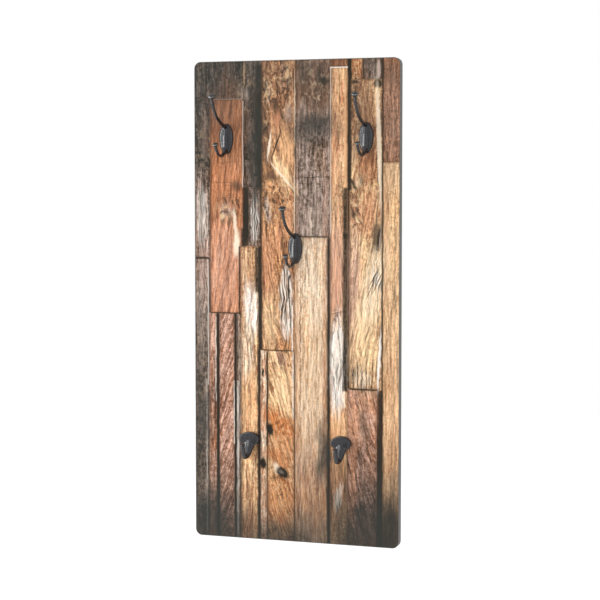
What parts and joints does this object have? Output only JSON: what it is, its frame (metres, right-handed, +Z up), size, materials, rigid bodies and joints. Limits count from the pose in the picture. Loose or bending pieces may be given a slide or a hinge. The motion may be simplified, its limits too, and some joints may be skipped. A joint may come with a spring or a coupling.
{
  "type": "wall hook rack",
  "caption": "Upright wall hook rack: a board printed with weathered wood planks, rounded at the corners, carrying black cast double and single hooks and hung on keyhole hangers.",
  "frame": {"origin": "on the wall plane, midway between the two keyhole entries", "axes": "+Z up, +Y into the wall, +X to the right of someone facing the printed board"},
  "size_m": [0.4, 0.1048, 0.9],
  "materials": {
    "core": "raw fibreboard",
    "print": "printed decor sheet under a satin lacquer",
    "band": "dark edge band",
    "hooks": "satin black coat on a casting",
    "steel": "bright zinc plate",
    "bumpers": "soft matte"
  },
  "bodies": {
    "root": {"board_core": "core", "printed_face": "print", "edge_band": "band", "top_left_double_hook": "hooks", "top_right_double_hook": "hooks", "centre_double_hook": "hooks", "lower_left_single_hook": "hooks", "lower_right_single_hook": "hooks", "top_left_hook_screws": "steel", "top_right_hook_screws": "steel", "centre_hook_screws": "steel", "lower_left_hook_screws": "steel", "lower_right_hook_screws": "steel", "left_keyhole_hanger": "steel", "left_hanger_screws": "steel", "left_wall_bumper": "bumpers", "right_keyhole_hanger": "steel", "right_hanger_screws": "steel", "right_wall_bumper": "bumpers"}
  },
  "joints": []
}
